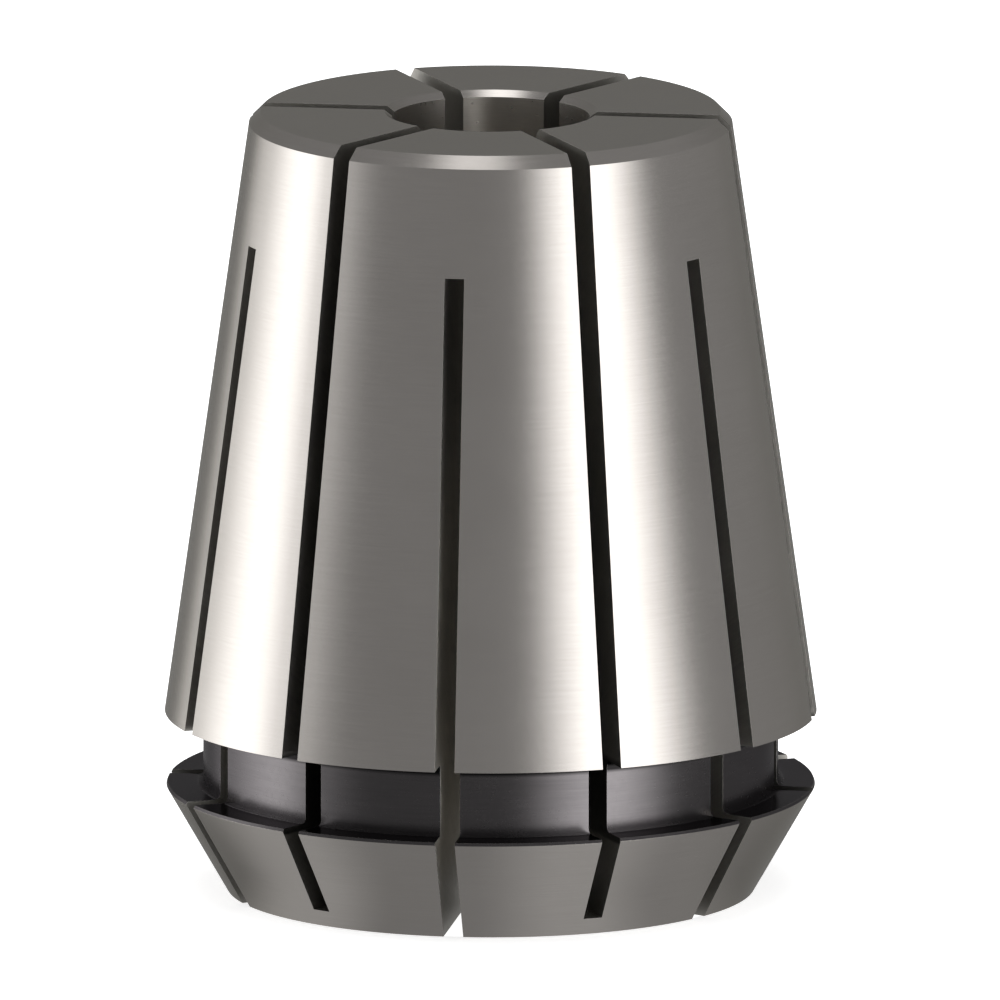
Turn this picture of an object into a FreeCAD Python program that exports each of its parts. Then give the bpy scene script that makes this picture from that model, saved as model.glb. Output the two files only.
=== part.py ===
import FreeCAD, Part
import math
import os

# A size 32 ER spring collet, turned and ground from one piece of spring steel.
# It stands on its large face, with its axis on Z and its small end up. A long
# taper seats it in the chuck, a flange with a steep cone takes the clamping nut,
# and the groove between them lets the nut draw it out again. Saw cuts from both
# ends in turn leave fingers that close evenly on the shank of a tool.

# Overall size, in millimetres: the head is the widest circle, which the foot of the
# taper and the sharp corner of the flange share
LENGTH = 40.0
HEAD_DIAMETER = 33.0
BORE_DIAMETER = 10.0

# Seating taper, with its slope from the axis in degrees
TAPER_HALF_ANGLE = 8.0
SMALL_END_CHAMFER = 0.6

# Nut flange
FLANGE_HEIGHT = 5.45
FLANGE_EDGE_BREAK = 0.15
NUT_CONE_HALF_ANGLE = 30.0

# Extraction groove between the flange and the taper
GROOVE_DEPTH = 1.95
GROOVE_WIDTH = 3.65
GROOVE_ROOT_RADIUS = 0.3

# Countersink at each mouth of the bore
MOUTH_CHAMFER_WIDTH = 0.4
MOUTH_CHAMFER_DEPTH = 0.3

# Saw cuts: a bridge is the metal left between a cut's closed end and the far face
SLOT_WIDTH = 1.0
SLOTS_PER_END = 6
LARGE_END_CUT_BRIDGE = 6.1
SMALL_END_CUT_BRIDGE = 0.9
FIRST_CUT_ANGLE = -90.0

# How far a cutter runs out past the metal
RUNOUT = 1.0

HEAD_RADIUS = HEAD_DIAMETER / 2
BORE_RADIUS = BORE_DIAMETER / 2
GROOVE_RADIUS = HEAD_RADIUS - GROOVE_DEPTH
GROOVE_TOP = FLANGE_HEIGHT + GROOVE_WIDTH
CUT_PITCH = 360 / SLOTS_PER_END

AXIS = FreeCAD.Vector(0, 0, 1)
CENTRE = FreeCAD.Vector(0, 0, 0)


def at(radius, height):
    """A point of the turned outline, in the XZ plane."""
    return FreeCAD.Vector(radius, 0, height)


def line(start, end):
    return Part.LineSegment(start, end).toShape()


def root_arc(start, end, corner):
    """The quarter circle that rounds a groove's root, tangent to its wall and its side."""
    centre = start + end - corner
    middle = centre + (corner - centre) * math.sqrt(0.5)
    return Part.Arc(start, middle, end).toShape()


def flange_outline(start):
    """The nut cone, the broken edge and the flat top of the flange, in to the groove's root."""
    slope = math.tan(math.radians(NUT_CONE_HALF_ANGLE))
    foot = at(HEAD_RADIUS - FLANGE_HEIGHT * slope, 0)
    break_foot_height = FLANGE_HEIGHT - FLANGE_EDGE_BREAK
    break_foot = at(HEAD_RADIUS - FLANGE_EDGE_BREAK * slope, break_foot_height)
    break_top = at(HEAD_RADIUS - FLANGE_EDGE_BREAK, FLANGE_HEIGHT)
    root = at(GROOVE_RADIUS + GROOVE_ROOT_RADIUS, FLANGE_HEIGHT)
    return [line(start, foot), line(foot, break_foot), line(break_foot, break_top), line(break_top, root)]


def groove_outline(start):
    """The groove's lower root, its wall and its upper root."""
    wall_foot = at(GROOVE_RADIUS, FLANGE_HEIGHT + GROOVE_ROOT_RADIUS)
    wall_top = at(GROOVE_RADIUS, GROOVE_TOP - GROOVE_ROOT_RADIUS)
    end = at(GROOVE_RADIUS + GROOVE_ROOT_RADIUS, GROOVE_TOP)
    lower_root = root_arc(start, wall_foot, at(GROOVE_RADIUS, FLANGE_HEIGHT))
    upper_root = root_arc(wall_top, end, at(GROOVE_RADIUS, GROOVE_TOP))
    return [lower_root, line(wall_foot, wall_top), upper_root]


def taper_outline(start, end):
    """The groove's upper side, the long taper, its end chamfer and the small face."""
    slope = math.tan(math.radians(TAPER_HALF_ANGLE))
    base = at(HEAD_RADIUS, GROOVE_TOP)
    shoulder_height = LENGTH - SMALL_END_CHAMFER
    shoulder_radius = HEAD_RADIUS - (shoulder_height - GROOVE_TOP) * slope
    shoulder = at(shoulder_radius, shoulder_height)
    rim = at(shoulder_radius - SMALL_END_CHAMFER, LENGTH)
    return [line(start, base), line(base, shoulder), line(shoulder, rim), line(rim, end)]


def bore_outline(start, end):
    """The bore with a countersink at each mouth, from the small face down to the large one."""
    upper = at(BORE_RADIUS, LENGTH - MOUTH_CHAMFER_DEPTH)
    lower = at(BORE_RADIUS, MOUTH_CHAMFER_DEPTH)
    return [line(start, upper), line(upper, lower), line(lower, end)]


def turned_blank():
    """The collet before it is slotted: its half section turned about the axis.

    The section stands midway between two cuts, so that the seam of the turned
    faces runs down the middle of a finger.
    """
    mouth_radius = BORE_RADIUS + MOUTH_CHAMFER_WIDTH
    large_mouth = at(mouth_radius, 0)
    small_mouth = at(mouth_radius, LENGTH)
    root_side = GROOVE_RADIUS + GROOVE_ROOT_RADIUS
    groove_start = at(root_side, FLANGE_HEIGHT)
    groove_end = at(root_side, GROOVE_TOP)
    edges = flange_outline(large_mouth)
    edges += groove_outline(groove_start)
    edges += taper_outline(groove_end, small_mouth)
    edges += bore_outline(small_mouth, large_mouth)
    section = Part.Face(Part.Wire(edges))
    section.rotate(CENTRE, AXIS, FIRST_CUT_ANGLE + CUT_PITCH / 4)
    return section.revolve(CENTRE, AXIS, 360)


def saw_cut(angle, bottom, top):
    """One saw cut between two heights, from the bore out through the rim on one side."""
    reach = HEAD_RADIUS + RUNOUT
    cut = Part.makeBox(reach, SLOT_WIDTH, top - bottom, FreeCAD.Vector(0, -SLOT_WIDTH / 2, bottom))
    cut.rotate(CENTRE, AXIS, angle)
    return cut


def saw_cuts():
    """The cuts from each end in turn, evenly round the axis."""
    cuts = []
    for number in range(SLOTS_PER_END):
        angle = FIRST_CUT_ANGLE + number * CUT_PITCH
        cuts.append(saw_cut(angle, -RUNOUT, LENGTH - LARGE_END_CUT_BRIDGE))
        cuts.append(saw_cut(angle + CUT_PITCH / 2, SMALL_END_CUT_BRIDGE, LENGTH + RUNOUT))
    return cuts


def collet():
    """The slotted collet as one solid."""
    slotted = turned_blank().cut(saw_cuts())
    return slotted.Solids[0]


os.makedirs("parts", exist_ok=True)
collet().exportStep("parts/collet.step")
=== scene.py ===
import math

import bmesh
import bpy
import numpy as np
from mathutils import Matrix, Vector


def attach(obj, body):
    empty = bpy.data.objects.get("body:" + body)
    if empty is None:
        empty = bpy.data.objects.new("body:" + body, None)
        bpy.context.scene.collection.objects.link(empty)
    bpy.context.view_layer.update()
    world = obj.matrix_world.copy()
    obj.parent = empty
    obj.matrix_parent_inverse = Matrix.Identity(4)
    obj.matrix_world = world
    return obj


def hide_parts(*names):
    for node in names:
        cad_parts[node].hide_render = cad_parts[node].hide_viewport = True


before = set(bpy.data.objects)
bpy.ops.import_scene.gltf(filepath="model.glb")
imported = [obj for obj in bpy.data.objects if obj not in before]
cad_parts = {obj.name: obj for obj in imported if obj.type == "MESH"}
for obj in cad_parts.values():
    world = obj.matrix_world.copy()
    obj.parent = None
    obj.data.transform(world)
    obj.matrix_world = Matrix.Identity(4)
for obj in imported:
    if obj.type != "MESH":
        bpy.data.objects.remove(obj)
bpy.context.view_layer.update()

MM = 0.001

# The collet's turned section, in millimetres, with z = 0 on its large face
LENGTH = 40.0
HEAD_RADIUS = 16.5
BORE_RADIUS = 5.0
TAPER_SLOPE = math.tan(math.radians(8.0))
END_CHAMFER = 0.6
FLANGE_HEIGHT = 5.45
FLANGE_EDGE_BREAK = 0.15
NUT_CONE_SLOPE = math.tan(math.radians(30.0))
GROOVE_DEPTH = 1.95
GROOVE_WIDTH = 3.65
GROOVE_ROOT_RADIUS = 0.3
GROOVE_RADIUS = HEAD_RADIUS - GROOVE_DEPTH
GROOVE_TOP = FLANGE_HEIGHT + GROOVE_WIDTH
MOUTH_CHAMFER_WIDTH = 0.4
MOUTH_CHAMFER_DEPTH = 0.3

# The saw cuts, in millimetres and degrees: the large end's stop below the small face, and
# the small end's stop above the large face
CUT_WIDTH = 1.0
HALF_CUT = CUT_WIDTH / 2
CUTS_PER_END = 6
FIRST_CUT_ANGLE = -90.0
LARGE_END_CUT_TOP = LENGTH - 6.1
SMALL_END_CUT_FOOT = 0.9

# From the middle plane of a cut to that of its neighbour from the other end, in radians
HALF_PITCH = math.pi / CUTS_PER_END

# A cut's wall is made of straight rungs from the bore to the outline. A rung's start in the
# bore is a share of the way up from the foot of the small end's cuts to the top of the
# large end's, and these are the shares of the rungs that end on the outline's corners
EDGE_BREAK_RUNG = 0.11
FLANGE_TOP_RUNG = 0.12
LOWER_ROOT_RUNG = 0.155
GROOVE_FOOT_RUNG = 0.165
GROOVE_HEAD_RUNG = 0.22
UPPER_ROOT_RUNG = 0.235
TAPER_FOOT_RUNG = 0.27

# The small rounding that is left on every edge after deburring, in millimetres, and how
# sharp an edge has to be to get it, in degrees
EDGE_ROUNDING = 0.03
EDGE_ROUNDING_STEPS = 3
ROUNDED_ABOVE_ANGLE = 30.0

# Points closer than this, in millimetres, are joined into one corner
JOINED_WITHIN = 0.005

# How finely the surfaces are divided: across a finger's outside, from the bore to the rim,
# and across the half width of a cut
FINGER_STEPS = 12
WALL_STEPS = 8
BRIDGE_STEPS = 2
ACROSS_FINGER = np.linspace(0, 1, FINGER_STEPS + 1)[None, :]
BORE_TO_RIM = np.linspace(0, 1, WALL_STEPS + 1)[None, :]
ACROSS_HALF_CUT = HALF_CUT * np.linspace(0, 1, BRIDGE_STEPS + 1)[None, :]

# The number of each finish, in the order in which the collet carries them
GROUND, DARKENED, FACED, BORED, SAWN_FROM_LARGE, SAWN_FROM_SMALL, ROUNDED = range(7)

# The photograph's view: degrees round the axis and above the floor, pixels a millimetre,
# how far the axis stands left of the picture's middle, in pixels, the height of that
# middle on the axis, in millimetres, and how far off the camera stands, in metres
VIEW_AZIMUTH = 8.14
VIEW_ELEVATION = 11.37
PIXELS_PER_MM = 19.76
PICTURE_WIDTH = 1000
AXIS_LEFT_OF_MIDDLE = 9.25
AIM_HEIGHT = 19.9
CAMERA_DISTANCE = 0.5


# The collet's surface

def section_stations():
    """Matched corners of the section, from the large face to the small one.

    Each station is (outer radius, outer height, inner radius, inner height, steps,
    rounded, finish): the last three tell of the run up to the next station.
    """
    cone_foot = HEAD_RADIUS - FLANGE_HEIGHT * NUT_CONE_SLOPE
    break_foot = FLANGE_HEIGHT - FLANGE_EDGE_BREAK
    break_top_radius = HEAD_RADIUS - FLANGE_EDGE_BREAK
    root_side = GROOVE_RADIUS + GROOVE_ROOT_RADIUS
    shoulder = LENGTH - END_CHAMFER
    mouth = BORE_RADIUS + MOUTH_CHAMFER_WIDTH
    low, high = MOUTH_CHAMFER_DEPTH, LENGTH - MOUTH_CHAMFER_DEPTH
    foot, top = SMALL_END_CUT_FOOT, LARGE_END_CUT_TOP

    def cone(height):
        return cone_foot + height * NUT_CONE_SLOPE

    def taper(height):
        return HEAD_RADIUS - (height - GROOVE_TOP) * TAPER_SLOPE

    def chamfer(height):
        return taper(shoulder) - (height - shoulder)

    def rung(share):
        return foot + (top - foot) * share

    return [
        (cone_foot, 0.0, mouth, 0.0, 1, False, GROUND),
        (cone(low), low, BORE_RADIUS, low, 1, False, GROUND),
        (cone(foot), foot, BORE_RADIUS, foot, 6, False, GROUND),
        (cone(break_foot), break_foot, BORE_RADIUS, rung(EDGE_BREAK_RUNG), 1, False, DARKENED),
        (break_top_radius, FLANGE_HEIGHT, BORE_RADIUS, rung(FLANGE_TOP_RUNG), 3, False, FACED),
        (root_side, FLANGE_HEIGHT, BORE_RADIUS, rung(LOWER_ROOT_RUNG), 6, True, DARKENED),
        (GROOVE_RADIUS, FLANGE_HEIGHT + GROOVE_ROOT_RADIUS,
         BORE_RADIUS, rung(GROOVE_FOOT_RUNG), 4, False, DARKENED),
        (GROOVE_RADIUS, GROOVE_TOP - GROOVE_ROOT_RADIUS,
         BORE_RADIUS, rung(GROOVE_HEAD_RUNG), 6, True, DARKENED),
        (root_side, GROOVE_TOP, BORE_RADIUS, rung(UPPER_ROOT_RUNG), 3, False, DARKENED),
        (HEAD_RADIUS, GROOVE_TOP, BORE_RADIUS, rung(TAPER_FOOT_RUNG), 12, False, GROUND),
        (taper(top), top, BORE_RADIUS, top, 4, False, GROUND),
        (taper(shoulder), shoulder, BORE_RADIUS, shoulder, 1, False, GROUND),
        (chamfer(high), high, BORE_RADIUS, high, 1, False, GROUND),
        (chamfer(LENGTH), LENGTH, mouth, LENGTH, 0, False, GROUND),
    ]


def section_rows():
    """The section as rows: outer and inner (radius, height) of each, and the finish above it.

    A straight run is its start plus equal steps. A rounded run is a quarter circle from
    start to end, centre + (start - centre) cos t + (end - centre) sin t, and its centre
    is level with the groove's wall end, out at the radius of the groove's side.
    """
    stations = section_stations()
    outer, inner, finishes = [], [], []
    for here, there in zip(stations, stations[1:]):
        steps, rounded, finish = here[4:]
        share = np.arange(steps)[:, None] / steps
        start, end = np.array(here[:2]), np.array(there[:2])
        run = start + (end - start) * share
        if rounded:
            wall_end, side = sorted([start, end], key=lambda point: point[0])
            centre = np.array([side[0], wall_end[1]])
            turn = share * math.pi / 2
            run = centre + (start - centre) * np.cos(turn) + (end - centre) * np.sin(turn)
        outer.append(run)
        start, end = np.array(here[2:4]), np.array(there[2:4])
        inner.append(start + (end - start) * share)
        finishes += [finish] * steps
    outer.append(np.array([stations[-1][:2]]))
    inner.append(np.array([stations[-1][2:4]]))
    return np.concatenate(outer), np.concatenate(inner), np.array(finishes)


def round_axis(radius, angle, height):
    """Points at a radius, an angle and a height: x = r cos a, y = r sin a."""
    radius, angle, height = np.broadcast_arrays(radius, angle, height)
    return np.stack([radius * np.cos(angle), radius * np.sin(angle), height], axis=-1)


def from_wall_to_wall(radius):
    """Angles across half a finger at a radius r, evenly from asin(h / r) to the next wall's."""
    edge = np.arcsin(HALF_CUT / radius)
    return edge + (HALF_PITCH - 2 * edge) * ACROSS_FINGER


def skin(rows, finishes, top_row, foot_row):
    """Half a finger's outside or its bore, and its bridges over the closed ends of the cuts.

    A bridge's point that is b off the cut's middle plane lies at the angle asin(b / r).
    """
    radius, height = rows[:, :1], rows[:, 1:]
    upper, lower = slice(top_row, None), slice(None, foot_row + 1)
    over_large_end_cut = np.arcsin(ACROSS_HALF_CUT / radius[upper])
    under_small_end_cut = HALF_PITCH - np.arcsin(ACROSS_HALF_CUT / radius[lower])
    return [
        (round_axis(radius, from_wall_to_wall(radius), height), finishes),
        (round_axis(radius[upper], over_large_end_cut, height[upper]), finishes[top_row:]),
        (round_axis(radius[lower], under_small_end_cut, height[lower]), finishes[:foot_row]),
    ]


def across_cut(inner_radius, outer_radius, height, from_small_end):
    """A level strip from a cut's middle plane to its wall, and from the bore to the rim.

    A point that is s along the cut and b off its middle plane has r = sqrt(s^2 + b^2).
    """
    ends = np.sqrt(np.array([[inner_radius], [outer_radius]]) ** 2 - ACROSS_HALF_CUT ** 2)
    s = ends[:1] + (ends[1:] - ends[:1]) * BORE_TO_RIM.T
    turn = np.arctan2(ACROSS_HALF_CUT, s)
    angle = HALF_PITCH - turn if from_small_end else turn
    return round_axis(np.hypot(s, ACROSS_HALF_CUT), angle, height)


def end_face(inner_radius, outer_radius, height, closes_small_end_cut):
    """A flat end of half a finger, from the bore's mouth to the rim, and its bridge over a cut."""
    near, far = np.sqrt(np.array([inner_radius, outer_radius]) ** 2 - HALF_CUT ** 2)
    radius = np.hypot(near + (far - near) * BORE_TO_RIM.T, HALF_CUT)
    finishes = np.full(WALL_STEPS, GROUND)
    return [
        (round_axis(radius, from_wall_to_wall(radius), height), finishes),
        (across_cut(inner_radius, outer_radius, height, closes_small_end_cut), finishes),
    ]


def cut_wall(inner, outer, from_small_end):
    """One wall of a cut: straight rungs from the bore's edge to the outer edge."""
    near = np.sqrt(inner[:, :1] ** 2 - HALF_CUT ** 2)
    far = np.sqrt(outer[:, :1] ** 2 - HALF_CUT ** 2)
    s = near + (far - near) * BORE_TO_RIM
    height = inner[:, 1:] + (outer[:, 1:] - inner[:, 1:]) * BORE_TO_RIM
    turn = np.arctan2(HALF_CUT, s)
    angle = HALF_PITCH - turn if from_small_end else turn
    finish = SAWN_FROM_SMALL if from_small_end else SAWN_FROM_LARGE
    return round_axis(np.hypot(s, HALF_CUT), angle, height), np.full(len(s) - 1, finish)


def cut_end(inner_radius, outer_radius, height, from_small_end):
    """The flat closed end of a cut, from its middle plane to its wall."""
    finish = SAWN_FROM_SMALL if from_small_end else SAWN_FROM_LARGE
    return across_cut(inner_radius, outer_radius, height, from_small_end), np.full(WALL_STEPS, finish)


def half_finger():
    """The surfaces between the middle planes of two neighbouring cuts.

    Each is a grid of points and the finish of each of its rows. The large end's cut lies
    at angle 0 and the small end's at half a pitch. A cut's wall stands half a cut's width
    h off its middle plane, so at the radius r it starts at the angle asin(h / r).
    """
    outer, inner, finishes = section_rows()
    top_row = int(np.argmin(abs(inner[:, 1] - LARGE_END_CUT_TOP)))
    foot_row = int(np.argmin(abs(inner[:, 1] - SMALL_END_CUT_FOOT)))
    bore_finishes = np.full(len(finishes), BORED)
    bore_finishes[0] = bore_finishes[-1] = GROUND
    below_top, above_foot = slice(None, top_row + 1), slice(foot_row, None)
    patches = skin(outer, finishes, top_row, foot_row)
    patches += skin(inner, bore_finishes, top_row, foot_row)
    patches += end_face(inner[0, 0], *outer[0], closes_small_end_cut=True)
    patches += end_face(inner[-1, 0], *outer[-1], closes_small_end_cut=False)
    patches.append(cut_wall(inner[below_top], outer[below_top], from_small_end=False))
    patches.append(cut_wall(inner[above_foot], outer[above_foot], from_small_end=True))
    patches.append(cut_end(inner[top_row, 0], *outer[top_row], from_small_end=False))
    patches.append(cut_end(inner[foot_row, 0], *outer[foot_row], from_small_end=True))
    return patches


def grid_quads(rows, columns):
    """The corner numbers of the quads over a grid whose points are numbered row by row."""
    corner = np.arange(rows * columns).reshape(rows, columns)
    quads = np.stack([corner[:-1, :-1], corner[:-1, 1:], corner[1:, 1:], corner[1:, :-1]], axis=-1)
    return quads.reshape(-1, 4)


def collet_mesh():
    """The whole collet: the half finger turned and mirrored round the axis, then joined."""
    points, quads, finishes = [], [], []
    count = 0
    for grid, row_finishes in half_finger():
        rows, columns = grid.shape[:2]
        points.append(grid.reshape(-1, 3))
        quads.append(count + grid_quads(rows, columns))
        finishes.append(np.repeat(row_finishes, columns - 1))
        count += rows * columns
    points, quads, finishes = np.concatenate(points), np.concatenate(quads), np.concatenate(finishes)

    whole = []
    for number in range(CUTS_PER_END):
        turn = math.radians(FIRST_CUT_ANGLE) + number * 2 * HALF_PITCH
        cosine, sine = math.cos(turn), math.sin(turn)
        turned = np.array([[cosine, -sine, 0], [sine, cosine, 0], [0, 0, 1]])
        whole += [points @ turned.T, points * [1, -1, 1] @ turned.T]
    faces = np.concatenate([quads + number * count for number in range(len(whole))])

    mesh = bpy.data.meshes.new("collet_body")
    mesh.from_pydata((np.concatenate(whole) * MM).tolist(), [], faces.tolist())
    mesh.polygons.foreach_set("material_index", np.tile(finishes, len(whole)).astype(np.int32))
    made = bmesh.new()
    made.from_mesh(mesh)
    bmesh.ops.remove_doubles(made, verts=made.verts, dist=JOINED_WITHIN * MM)
    bmesh.ops.recalc_face_normals(made, faces=made.faces)
    made.to_mesh(mesh)
    made.free()
    mesh.shade_smooth()
    return mesh


def round_edges(piece):
    """Gives a piece's edges the small rounding that deburring leaves, in its own finish."""
    rounding = piece.modifiers.new("edge_rounding", "BEVEL")
    rounding.width = EDGE_ROUNDING * MM
    rounding.segments = EDGE_ROUNDING_STEPS
    rounding.limit_method = "ANGLE"
    rounding.angle_limit = math.radians(ROUNDED_ABOVE_ANGLE)
    rounding.harden_normals = True
    rounding.material = ROUNDED


# Helpers for objects, materials and nodes

def placed(name, data):
    """A new object that is linked into the scene."""
    made = bpy.data.objects.new(name, data)
    bpy.context.scene.collection.objects.link(made)
    return made


def new_material(name):
    """A new material, and its node tree with nothing in it."""
    material = bpy.data.materials.new(name)
    material.use_nodes = True
    material.node_tree.nodes.clear()
    return material, material.node_tree


def new_group(name, inputs, outputs):
    """An empty shader node group with named sockets, and its two ends."""
    tree = bpy.data.node_groups.new(name, "ShaderNodeTree")
    for socket, kind in inputs:
        tree.interface.new_socket(socket, in_out="INPUT", socket_type="NodeSocket" + kind)
    for socket, kind in outputs:
        tree.interface.new_socket(socket, in_out="OUTPUT", socket_type="NodeSocket" + kind)
    return tree, tree.nodes.new("NodeGroupInput"), tree.nodes.new("NodeGroupOutput")


def add(tree, kind, inputs=None, **settings):
    """Adds a shader node. inputs gives each socket, by name or number, a value or a link."""
    made = tree.nodes.new("ShaderNode" + kind)
    for name, value in settings.items():
        setattr(made, name, value)
    for socket, value in (inputs or {}).items():
        if isinstance(value, bpy.types.NodeSocket):
            tree.links.new(value, made.inputs[socket])
        else:
            made.inputs[socket].default_value = value
    return made


def maths(tree, operation, first, second=0.0, clamp=False):
    """The output of one Math node."""
    return add(tree, "Math", {0: first, 1: second}, operation=operation, use_clamp=clamp).outputs[0]


def times(tree, first, second):
    """One value multiplied by another."""
    return maths(tree, "MULTIPLY", first, second)


def plus(tree, first, second):
    """The sum of two values."""
    return maths(tree, "ADD", first, second)


def mixed(tree, share, first, second):
    """A colour between two colours."""
    return add(tree, "Mix", {0: share, 6: first, 7: second}, data_type="RGBA").outputs[2]


def ranged(tree, value, low, high, to_low=0.0, to_high=1.0):
    """A value moved from one range to another, held at its ends."""
    return add(tree, "MapRange", {0: value, 1: low, 2: high, 3: to_low, 4: to_high}).outputs[0]


def band(tree, value, start, rise, fall, end):
    """1 between rise and fall, 0 outside start and end, and an S curve between."""
    up = add(tree, "MapRange", {0: value, 1: start, 2: rise}, interpolation_type="SMOOTHSTEP")
    down = add(tree, "MapRange", {0: value, 1: fall, 2: end, 3: 1.0, 4: 0.0},
               interpolation_type="SMOOTHSTEP")
    return times(tree, up.outputs[0], down.outputs[0])


def vector_maths(tree, operation, inputs):
    """One Vector Math node: its vector output and its value output."""
    return add(tree, "VectorMath", inputs, operation=operation).outputs


def in_millimetres(tree, position):
    """A position's x, y and z, in millimetres."""
    place = vector_maths(tree, "SCALE", {0: position, 3: 1 / MM})[0]
    return add(tree, "SeparateXYZ", {0: place}).outputs


def off_axis(tree, x, y):
    """The level vector from the axis to a point, and its length."""
    outward = add(tree, "CombineXYZ", {0: x, 1: y}).outputs[0]
    return outward, vector_maths(tree, "LENGTH", {0: outward})[1]


# The marks that the tools leave

# How fast turned lines change round the axis, and how much of the radius counts as height,
# so that a flat face has them too
LINES_ROUND_AXIS = 5.0
LINES_BY_RADIUS = 0.6

# The slitting saw, in millimetres: its radius, the radius at which its centre ran, and how
# fast its arcs change along themselves
SAW_RADIUS = 31.5
SAW_CENTRE_RADIUS = 33.0
ARCS_BY_RADIUS = 0.15

# The pattern that worked metal shares: patches in each millimetre of the clouding and of the
# grain, the stretch of the tone that runs from dark to light, and the grain's share of relief
CLOUDS_PER_MM = 0.16
GRAINS_PER_MM = 3.5
TONE_DARK, TONE_LIGHT = 0.3, 0.7
GRAIN_RELIEF = 0.4

# The painted shade in the corner under the taper, in millimetres off the corner: where it ends at its
# darkest, where it starts, and how much light is left there
CORNER_DARKEST = 0.43
CORNER_OPEN = 0.63
CORNER_SHARE = 0.1

# How bright the sawn walls are beside the painted light on the pair of cuts on x = 0, and what
# the painted shade leaves of that where the small end's cuts cross the groove. A stretch is given by the
# heights, in millimetres, where it starts, is full, begins to fade and ends
PLAIN_SAWN_SHARE = 0.487
# Painted light on the walls of the pair of cuts on x = 0, by height
CUT_PAIR_PAINTED_LIGHT = 0.0, 5.0, 18.0, 31.0
# Painted shade on the small end's cuts where they cross the groove, by height
CROSSED_CUT_PAINTED_SHADE = FLANGE_HEIGHT - 0.4, FLANGE_HEIGHT - 0.25, GROOVE_TOP, GROOVE_TOP + 0.4
CROSSED_CUT_PAINTED_SHADE_SHARE = 0.2


def tool_lines_group():
    """Fine lines left round the axis by the lathe or the grinding wheel.

    Noise is read at (cos a, sin a) times a little and at (height + part of the radius)
    over the pitch, so it changes fast along the section and slowly round the axis.
    """
    tree, start, end = new_group(
        "tool_lines", [("Position", "Vector"), ("Pitch", "Float")], [("Lines", "Float")])
    x, y, z = in_millimetres(tree, start.outputs["Position"])
    outward, radius = off_axis(tree, x, y)
    around = vector_maths(tree, "NORMALIZE", {0: outward})[0]
    slow = vector_maths(tree, "SCALE", {0: around, 3: LINES_ROUND_AXIS})[0]
    run = plus(tree, z, times(tree, radius, LINES_BY_RADIUS))
    fast = add(tree, "CombineXYZ", {2: maths(tree, "DIVIDE", run, start.outputs["Pitch"])}).outputs[0]
    where = vector_maths(tree, "ADD", {0: slow, 1: fast})[0]
    noise = add(tree, "TexNoise", {"Vector": where, "Scale": 1.0, "Detail": 3.0, "Roughness": 0.6})
    tree.links.new(noise.outputs[0], end.inputs["Lines"])
    return tree


def saw_lines_group():
    """Arcs left on a cut's walls by the rim of the slitting saw as it was fed along the axis.

    An arc is where height - sqrt(S^2 - (r - c)^2) stays the same, with S the saw's radius
    and c the radius at which the saw's centre ran.
    """
    tree, start, end = new_group(
        "saw_lines", [("Position", "Vector"), ("Pitch", "Float")], [("Lines", "Float")])
    x, y, z = in_millimetres(tree, start.outputs["Position"])
    radius = off_axis(tree, x, y)[1]
    off = maths(tree, "SUBTRACT", radius, SAW_CENTRE_RADIUS)
    rest = maths(tree, "SUBTRACT", SAW_RADIUS ** 2, times(tree, off, off))
    bow = maths(tree, "SQRT", maths(tree, "MAXIMUM", rest, 0.0))
    run = maths(tree, "DIVIDE", maths(tree, "SUBTRACT", z, bow), start.outputs["Pitch"])
    where = add(tree, "CombineXYZ", {0: run, 1: times(tree, radius, ARCS_BY_RADIUS)}).outputs[0]
    noise = add(tree, "TexNoise", {"Vector": where, "Scale": 1.0, "Detail": 3.0, "Roughness": 0.65})
    tree.links.new(noise.outputs[0], end.inputs["Lines"])
    return tree


def worked_metal_group():
    """What every worked surface shares: its lines, a fine grain and slow clouding.

    The colour runs from Dark to Light by clouding plus lines, the roughness varies about
    its middle by the same plus grain, and lines and grain lift the surface by Relief
    millimetres from the way it faces.
    """
    tree, start, end = new_group(
        "worked_metal",
        [("Position", "Vector"), ("Lines", "Float"), ("Dark", "Color"), ("Light", "Color"),
         ("Roughness", "Float"), ("Spread", "Float"), ("Relief", "Float"), ("Facing", "Vector")],
        [("Color", "Color"), ("Roughness", "Float"), ("Normal", "Vector")])
    position, lines = start.outputs["Position"], start.outputs["Lines"]
    cloud = add(tree, "TexNoise", {
        "Vector": position, "Scale": CLOUDS_PER_MM / MM, "Detail": 3.0, "Roughness": 0.55}).outputs[0]
    grain = add(tree, "TexNoise", {
        "Vector": position, "Scale": GRAINS_PER_MM / MM, "Detail": 1.0, "Roughness": 0.5}).outputs[0]
    tone = plus(tree, times(tree, cloud, 0.5), times(tree, lines, 0.5))
    share = ranged(tree, tone, TONE_DARK, TONE_LIGHT)
    colour = mixed(tree, share, start.outputs["Dark"], start.outputs["Light"])
    tree.links.new(colour, end.inputs["Color"])
    uneven = maths(tree, "SUBTRACT", plus(tree, tone, grain), 1.0)
    change = times(tree, uneven, start.outputs["Spread"])
    rough = maths(tree, "ADD", start.outputs["Roughness"], change, clamp=True)
    tree.links.new(rough, end.inputs["Roughness"])
    bump = add(tree, "Bump", {
        "Strength": 1.0, "Distance": times(tree, start.outputs["Relief"], MM),
        "Height": plus(tree, lines, times(tree, grain, GRAIN_RELIEF)), "Normal": start.outputs["Facing"]})
    tree.links.new(bump.outputs[0], end.inputs["Normal"])
    return tree


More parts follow.
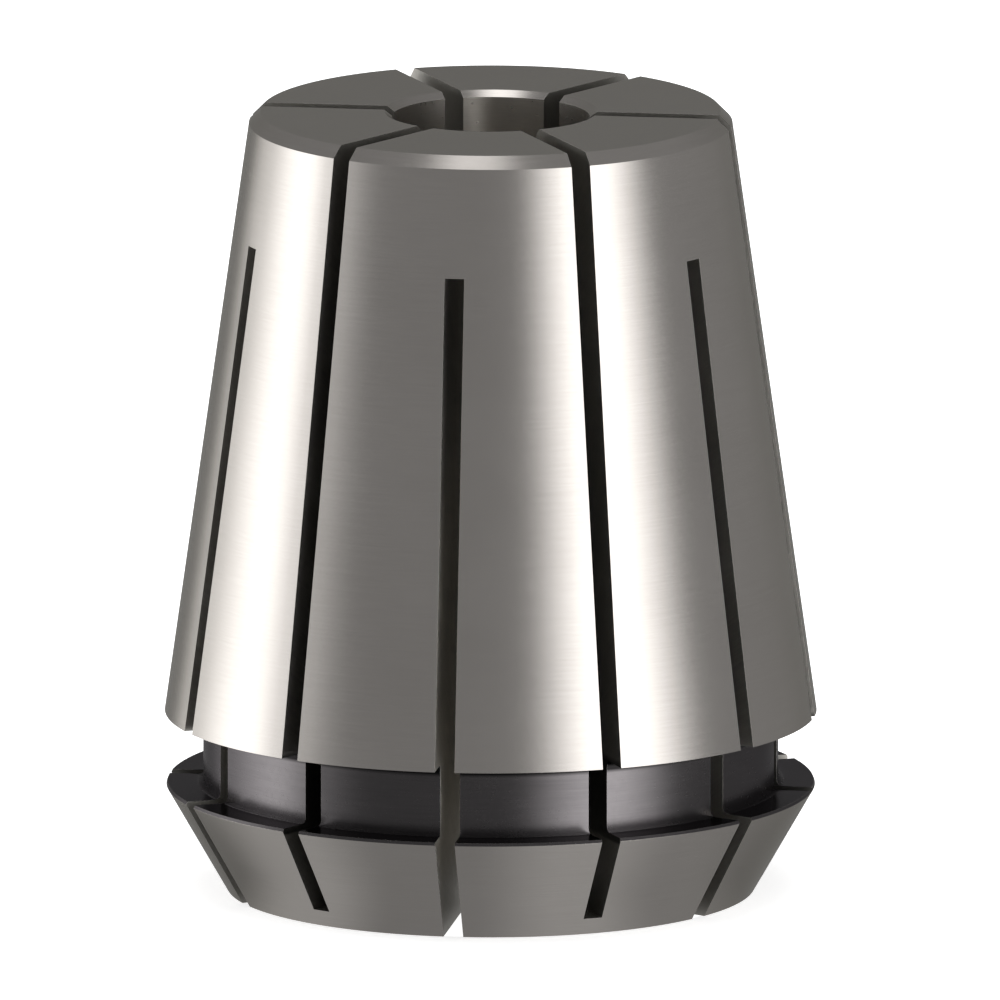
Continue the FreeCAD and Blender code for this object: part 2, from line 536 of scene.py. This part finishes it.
def groove_shade_group():
    """Painted shade in the groove: how much light reaches into it, and which way its lower root faces the
    light.

    The share, painted into the colour as shade, is 1 in the open and less toward the corner under the
    taper, which is sqrt((r - groove radius)^2 + (z - groove top)^2) away. The lower root is turned in
    steps as fine as its marks, so it shows light as the upright wall does.
    """
    tree, start, end = new_group(
        "groove_shade", [("Position", "Vector")], [("Share", "Float"), ("Facing", "Vector")])
    x, y, z = in_millimetres(tree, start.outputs["Position"])
    outward, radius = off_axis(tree, x, y)
    section = add(tree, "CombineXYZ", {0: radius, 2: z}).outputs[0]
    away = vector_maths(tree, "DISTANCE", {0: section, 1: (GROOVE_RADIUS, 0.0, GROOVE_TOP)})[1]
    share = ranged(tree, away, CORNER_DARKEST, CORNER_OPEN, CORNER_SHARE, 1.0)
    tree.links.new(share, end.inputs["Share"])

    clear_of_flange = FLANGE_HEIGHT + 0.001
    above = maths(tree, "GREATER_THAN", z, clear_of_flange)
    below = maths(tree, "LESS_THAN", z, FLANGE_HEIGHT + GROOVE_WIDTH / 2)
    normal = add(tree, "NewGeometry").outputs["Normal"]
    upright = add(tree, "VectorTransform", {0: outward}, vector_type="NORMAL",
                  convert_from="OBJECT", convert_to="WORLD").outputs[0]
    facing = add(tree, "Mix", {0: times(tree, above, below), 4: normal, 5: upright}, data_type="VECTOR")
    facing = vector_maths(tree, "NORMALIZE", {0: facing.outputs[1]})[0]
    tree.links.new(facing, end.inputs["Facing"])
    return tree


def cut_pair_painted_light_group():
    """How bright the large end's cuts are: the pair on x = 0 is the brightest, by painted light.

    The painted light on that pair is strongest below mid length.
    """
    tree, start, end = new_group("cut_pair_painted_light", [("Position", "Vector")], [("Share", "Float")])
    x, y, z = in_millimetres(tree, start.outputs["Position"])
    # Painted light: the pair of cuts on x = 0 is brighter over this stretch
    first = ranged(tree, maths(tree, "ABSOLUTE", x), CUT_WIDTH, 2 * CUT_WIDTH, 1.0, 0.0)
    painted_light_on_pair = times(tree, first, band(tree, z, *CUT_PAIR_PAINTED_LIGHT))
    tree.links.new(ranged(tree, painted_light_on_pair, 0.0, 1.0, PLAIN_SAWN_SHARE, 1.0), end.inputs["Share"])
    return tree


def crossed_cut_painted_shade_group():
    """How bright the small end's cuts are: painted shade darkens them where they cross the groove."""
    tree, start, end = new_group("crossed_cut_painted_shade", [("Position", "Vector")], [("Share", "Float")])
    height = in_millimetres(tree, start.outputs["Position"])[2]
    # Painted shade: the walls are darker over the groove's band of heights
    painted_dark = band(tree, height, *CROSSED_CUT_PAINTED_SHADE)
    share = ranged(tree, painted_dark, 0.0, 1.0, PLAIN_SAWN_SHARE, CROSSED_CUT_PAINTED_SHADE_SHARE * PLAIN_SAWN_SHARE)
    tree.links.new(share, end.inputs["Share"])
    return tree


# The finishes

TOOL_LINES = tool_lines_group()
SAW_LINES = saw_lines_group()
WORKED_METAL = worked_metal_group()

STEEL_DARK, STEEL_LIGHT, STEEL_EDGE = (0.395, 0.373, 0.352), (0.436, 0.413, 0.392), (0.82, 0.81, 0.77)
SAWN_DARK, SAWN_LIGHT, SAWN_EDGE = (0.69, 0.668, 0.622), (0.918, 0.889, 0.828), (1.0, 0.99, 0.97)

# Each finish in the order of its number: its marks and their pitch in millimetres, its two
# tones, its roughness and how much that varies, its relief in millimetres, its tint where
# it is seen edge on, and the painted light and shade in its colour
FINISHES = [
    dict(name="ground_steel", lines=TOOL_LINES, pitch=0.06, dark=STEEL_DARK, light=STEEL_LIGHT,
         roughness=0.22, spread=0.05, relief=0.0004, edge_tint=STEEL_EDGE),
    dict(name="darkened_groove", lines=TOOL_LINES, pitch=0.09,
         dark=(0.069, 0.0645, 0.0665), light=(0.096, 0.090, 0.092),
         roughness=0.26, spread=0.06, relief=0.0006, edge_tint=(0.6, 0.59, 0.6),
         painted_light_and_shade=groove_shade_group()),
    dict(name="faced_flange", lines=TOOL_LINES, pitch=0.09,
         dark=(0.08, 0.076, 0.078), light=(0.12, 0.115, 0.117),
         roughness=0.24, spread=0.06, relief=0.0006, edge_tint=(0.45, 0.44, 0.45)),
    dict(name="bored_steel", lines=TOOL_LINES, pitch=0.07,
         dark=(0.61, 0.58, 0.54), light=(0.69, 0.66, 0.62),
         roughness=0.29, spread=0.06, relief=0.0004, edge_tint=(0.9, 0.89, 0.87)),
    dict(name="sawn_from_large_end", lines=SAW_LINES, pitch=0.12, dark=SAWN_DARK, light=SAWN_LIGHT,
         roughness=0.42, spread=0.12, relief=0.0012, edge_tint=SAWN_EDGE,
         painted_light_and_shade=cut_pair_painted_light_group()),
    dict(name="sawn_from_small_end", lines=SAW_LINES, pitch=0.12, dark=SAWN_DARK, light=SAWN_LIGHT,
         roughness=0.42, spread=0.12, relief=0.0012, edge_tint=SAWN_EDGE,
         painted_light_and_shade=crossed_cut_painted_shade_group()),
    dict(name="rounded_edge", lines=TOOL_LINES, pitch=0.06, dark=STEEL_DARK, light=STEEL_LIGHT,
         roughness=0.25, spread=0.05, relief=0.0004, edge_tint=STEEL_EDGE),
]


def metal(name, lines, pitch, dark, light, roughness, spread, relief, edge_tint, painted_light_and_shade=None):
    """A bare metal finish: the shared pattern with this finish's own values."""
    material, tree = new_material(name)
    position = add(tree, "TexCoord").outputs["Object"]
    marks = add(tree, "Group", node_tree=lines)
    tree.links.new(position, marks.inputs["Position"])
    marks.inputs["Pitch"].default_value = pitch
    finish = add(tree, "Group", node_tree=WORKED_METAL)
    tree.links.new(position, finish.inputs["Position"])
    tree.links.new(marks.outputs["Lines"], finish.inputs["Lines"])
    finish.inputs["Dark"].default_value = (*dark, 1.0)
    finish.inputs["Light"].default_value = (*light, 1.0)
    finish.inputs["Roughness"].default_value = roughness
    finish.inputs["Spread"].default_value = spread
    finish.inputs["Relief"].default_value = relief
    colour = finish.outputs["Color"]
    facing = add(tree, "NewGeometry").outputs["Normal"]
    if painted_light_and_shade:
        reached = add(tree, "Group", node_tree=painted_light_and_shade)
        tree.links.new(position, reached.inputs["Position"])
        # Painted light and shade: the colour is darkened toward black where the share is below 1
        colour = mixed(tree, reached.outputs["Share"], (0.0, 0.0, 0.0, 1.0), colour)
        if "Facing" in reached.outputs:
            facing = reached.outputs["Facing"]
    tree.links.new(facing, finish.inputs["Facing"])
    shader = add(tree, "BsdfPrincipled", {
        "Base Color": colour, "Metallic": 1.0, "Roughness": finish.outputs["Roughness"],
        "Normal": finish.outputs["Normal"], "Specular Tint": (*edge_tint, 1.0)})
    add(tree, "OutputMaterial", {"Surface": shader.outputs[0]})
    return material


# The studio

# How bright the world's fill is where it falls. To the eye it is white
WORLD_FILL = 0.35

# The floor, in metres: how far under the collet it lies and how far it goes. Its own glow
# is white far out and under the collet, and dimmer between, where the soft shadow shows
FLOOR_DROP = 0.02 * MM
FLOOR_REACH = 4.0
FLOOR_GREY = 0.8
SHADOW_GLOW = 0.66
SHADOW_FADES = 0.014, 0.030
SHADOW_STARTS = 0.0130, 0.0136

# The cards round the collet, in metres
CARD_RADIUS = 0.30
CARD_SHOULDER = 0.22
CARD_TOP = 0.34
CARD_LIFT = 0.01 * MM
CARD_TURN_STEPS = 96
CARD_DOME_STEPS = 16

# How bright the grey of the cards is to the metal, and from which angle off the camera it
# starts to be dimmer and is dimmest, in degrees
CARD_GREY = 0.35
CARD_GREY_BEHIND = 0.26
BEHIND = 130.0, 168.0

# The panels on the cards: how bright each is to the metal, and the angles round the axis from
# the camera, in degrees, where it starts, is full, begins to fade and ends
LEFT_PANEL = 1.8, (-132.0, -97.0, -97.0, -75.7)
LEFT_EDGE_PANEL = 0.9, (-153.0, -131.6, -85.0, -50.7)
RIGHT_PANEL = 3.2, (10.4, 45.0, 47.0, 84.0)
FOOT_LEFT_PANEL = 0.24, (-170.0, -110.0, -96.0, -50.0)
FOOT_RIGHT_PANEL = 0.235, (-12.0, 38.0, 50.0, 97.0)
BACK_RIGHT_PANEL = 0.035, (60.0, 95.0, 105.0, 150.0)

# The overhead panel: how bright it is, and the slopes x / z and y / z that bound it
TOP_BRIGHTNESS = 2.35
TOP_BY_X = -0.315, -0.135, -0.02, 0.165
TOP_BY_Y = -0.5, 0.05, 0.25, 0.6

# Where the side panels change, by the radius in metres: they take over from the foot
# panels, and they are brighter on the floor near by than further out
FOOT_ENDS = 0.020, 0.036
NEAR_ENDS = 0.07, 0.12
NEAR_LEFT = 1.35
NEAR_RIGHT = 1.6

# The slopes, height over radius, between which the side panels fade out
SIDES_END = 0.25, 0.5

# The middle radius of the taper's skin, in metres, and the most that it may count as, as a
# share of a point's own radius. Close round the foot, angles are stretched a little
SKIN_RADIUS = 15.0 * MM
NEAREST = 0.97
STRETCH = 1.2
STRETCH_ENDS = 0.017, 0.026

# The least radius and height, in metres, by which anything is divided
LEAST = 0.001


def grid_mesh(name, grid):
    """A mesh of quads over a grid of points."""
    mesh = bpy.data.meshes.new(name)
    mesh.from_pydata(grid.reshape(-1, 3).tolist(), [], grid_quads(*grid.shape[:2]).tolist())
    return mesh


def seen_white(tree):
    """1 for rays that look straight, by reflection or through glass, and 0 for light that falls."""
    path = add(tree, "LightPath")
    shown = maths(tree, "MAXIMUM", path.outputs["Is Camera Ray"], path.outputs["Is Glossy Ray"])
    return maths(tree, "MAXIMUM", shown, path.outputs["Is Transmission Ray"])


def studio_world():
    """A plain soft fill that looks white."""
    world = bpy.data.worlds.new("studio_world")
    world.use_nodes = True
    tree = world.node_tree
    tree.nodes.clear()
    strength = ranged(tree, seen_white(tree), 0.0, 1.0, WORLD_FILL, 1.0)
    fill = add(tree, "Background", {"Color": (1.0, 1.0, 1.0, 1.0), "Strength": strength})
    add(tree, "OutputWorld", {"Surface": fill.outputs[0]})
    bpy.context.scene.world = world


def floor_material():
    """Matt and pale near the collet, where its shadow shows, and plain white elsewhere."""
    material, tree = new_material("white_floor")
    position = add(tree, "TexCoord").outputs["Object"]
    away = vector_maths(tree, "LENGTH", {0: position})[1]
    round_foot = ranged(tree, away, *SHADOW_FADES, SHADOW_GLOW, 1.0)
    under = ranged(tree, away, *SHADOW_STARTS, 1.0, 0.0)
    glow = times(tree, seen_white(tree), maths(tree, "MAXIMUM", round_foot, under))
    card = add(tree, "BsdfDiffuse", {"Color": (FLOOR_GREY, FLOOR_GREY, FLOOR_GREY, 1.0)})
    white = add(tree, "Emission", {"Strength": glow})
    both = add(tree, "AddShader", {0: card.outputs[0], 1: white.outputs[0]})
    add(tree, "OutputMaterial", {"Surface": both.outputs[0]})
    return material


def studio_floor():
    """A level square just under the collet."""
    x, y = np.meshgrid([-FLOOR_REACH, FLOOR_REACH], [-FLOOR_REACH, FLOOR_REACH])
    grid = np.stack([x, y, np.full_like(x, -FLOOR_DROP)], axis=-1)
    floor = placed("studio_floor", grid_mesh("studio_floor", grid))
    floor.data.materials.append(floor_material())


def panel(tree, angle, brightness, span):
    """One panel's light: a band of the angle, as bright as the panel is."""
    return times(tree, band(tree, angle, *span), brightness)


def shown_angle(tree, x, y, away):
    """Where round the axis the collet's skin shows a point of the cards, in degrees.

    A far point shows at its own angle. For a point close by, asin(n sin(half)) is added
    to that angle, with n the skin's radius over the point's and half = angle / (2 - n).
    """
    own = maths(tree, "ARCTAN2", x, times(tree, y, -1.0))
    nearness = maths(tree, "MINIMUM", maths(tree, "DIVIDE", SKIN_RADIUS, away), NEAREST)
    half = maths(tree, "DIVIDE", own, maths(tree, "SUBTRACT", 2.0, nearness))
    aside = maths(tree, "ARCSINE", times(tree, nearness, maths(tree, "SINE", half)))
    angle = maths(tree, "DEGREES", plus(tree, own, aside))
    return times(tree, angle, ranged(tree, away, *STRETCH_ENDS, STRETCH, 1.0))


def side_panels(tree, angle, away, z):
    """Upright panels left and right that fade out high up, and dimmer ones round the foot."""
    left = plus(tree, panel(tree, angle, *LEFT_PANEL), panel(tree, angle, *LEFT_EDGE_PANEL))
    left = times(tree, left, ranged(tree, away, *NEAR_ENDS, NEAR_LEFT, 1.0))
    right = panel(tree, angle, *RIGHT_PANEL)
    right = times(tree, right, ranged(tree, away, *NEAR_ENDS, NEAR_RIGHT, 1.0))
    low = ranged(tree, maths(tree, "DIVIDE", z, away), *SIDES_END, 1.0, 0.0)
    upright = times(tree, plus(tree, left, right), low)
    foot = plus(tree, panel(tree, angle, *FOOT_LEFT_PANEL), panel(tree, angle, *FOOT_RIGHT_PANEL))
    clear = ranged(tree, away, *FOOT_ENDS)
    near = maths(tree, "SUBTRACT", 1.0, clear)
    return plus(tree, times(tree, upright, clear), times(tree, foot, near))


def overhead_panel(tree, x, y, z):
    """A panel overhead: a band each way of the slopes x / z and y / z."""
    height = maths(tree, "MAXIMUM", z, LEAST)
    by_x = band(tree, maths(tree, "DIVIDE", x, height), *TOP_BY_X)
    by_y = band(tree, maths(tree, "DIVIDE", y, height), *TOP_BY_Y)
    return times(tree, times(tree, by_x, by_y), TOP_BRIGHTNESS)


def card_material():
    """Grey that is dimmer behind the collet, with panels at its sides, round its foot and overhead.

    Everything is counted from the camera's side, so the position is turned by its azimuth.
    """
    material, tree = new_material("grey_cards")
    position = add(tree, "TexCoord").outputs["Object"]
    turned = add(tree, "VectorRotate", {"Vector": position, "Angle": -math.radians(VIEW_AZIMUTH)},
                 rotation_type="Z_AXIS")
    x, y, z = add(tree, "SeparateXYZ", {0: turned.outputs[0]}).outputs
    away = maths(tree, "MAXIMUM", off_axis(tree, x, y)[1], LEAST)
    angle = shown_angle(tree, x, y, away)
    grey = ranged(tree, maths(tree, "ABSOLUTE", angle), *BEHIND, CARD_GREY, CARD_GREY_BEHIND)
    grey = plus(tree, grey, panel(tree, angle, *BACK_RIGHT_PANEL))
    panels = plus(tree, side_panels(tree, angle, away, z), overhead_panel(tree, x, y, z))
    light = add(tree, "Emission", {"Strength": plus(tree, panels, grey)})
    add(tree, "OutputMaterial", {"Surface": light.outputs[0]})
    return material


def reflection_cards():
    """Cards round, over and under the collet, which only its reflections see.

    A surface of revolution: level from the axis out, then upright, then a quarter
    ellipse over the top.
    """
    turn = np.linspace(0, 2 * math.pi, CARD_TURN_STEPS + 1)[None, :]
    arch = np.linspace(0, math.pi / 2, CARD_DOME_STEPS + 1)
    floor = np.array([[0.0, CARD_LIFT], [CARD_RADIUS, CARD_LIFT]])
    dome_height = CARD_SHOULDER + (CARD_TOP - CARD_SHOULDER) * np.sin(arch)
    dome = np.stack([CARD_RADIUS * np.cos(arch), dome_height], axis=-1)
    profile = np.concatenate([floor, dome])
    grid = round_axis(profile[:, :1], turn, profile[:, 1:])
    cards = placed("reflection_cards", grid_mesh("reflection_cards", grid))
    cards.data.materials.append(card_material())
    cards.visible_camera = False
    cards.visible_diffuse = False
    cards.visible_transmission = False
    cards.visible_shadow = False


def softbox(name, azimuth, distance, height, size, brightness):
    """A square lamp at an azimuth from the camera's, facing the collet; sizes in metres."""
    angle = math.radians(VIEW_AZIMUTH + azimuth)
    data = bpy.data.lights.new(name, "AREA")
    data.shape = "SQUARE"
    data.size = size
    data.energy = brightness * math.pi * size ** 2
    lamp = placed(name, data)
    lamp.location = (distance * math.sin(angle), -distance * math.cos(angle), height)
    inward = Vector((0, 0, LENGTH / 2 * MM)) - lamp.location
    lamp.rotation_euler = inward.to_track_quat("-Z", "Y").to_euler()
    lamp.visible_camera = False
    lamp.visible_glossy = False


def photo_camera():
    """A camera without perspective, as the picture has none."""
    azimuth, elevation = math.radians(VIEW_AZIMUTH), math.radians(VIEW_ELEVATION)
    level = math.cos(elevation)
    back = Vector((math.sin(azimuth) * level, -math.cos(azimuth) * level, math.sin(elevation)))
    right = Vector((math.cos(azimuth), math.sin(azimuth), 0))
    aim = Vector((0, 0, AIM_HEIGHT * MM)) + right * (AXIS_LEFT_OF_MIDDLE / PIXELS_PER_MM * MM)
    data = bpy.data.cameras.new("photo_camera")
    data.type = "ORTHO"
    data.ortho_scale = PICTURE_WIDTH / PIXELS_PER_MM * MM
    data.clip_start, data.clip_end = 0.01, 10.0
    camera = placed("photo_camera", data)
    camera.location = aim + back * CAMERA_DISTANCE
    camera.rotation_euler = (-back).to_track_quat("-Z", "Y").to_euler()
    bpy.context.scene.camera = camera


# Putting it together

collet = placed("collet_body", collet_mesh())
for finish in FINISHES:
    collet.data.materials.append(metal(**finish))
round_edges(collet)
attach(collet, "root")
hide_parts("collet")

studio_world()
studio_floor()
reflection_cards()
softbox("left_softbox", azimuth=-105, distance=0.6, height=0.35, size=0.5, brightness=1.6)
softbox("right_softbox", azimuth=45, distance=0.6, height=0.35, size=0.5, brightness=1.6)
softbox("overhead_softbox", azimuth=0, distance=0.0, height=0.8, size=0.6, brightness=1.2)
photo_camera()
bpy.context.scene.view_settings.view_transform = "Standard"
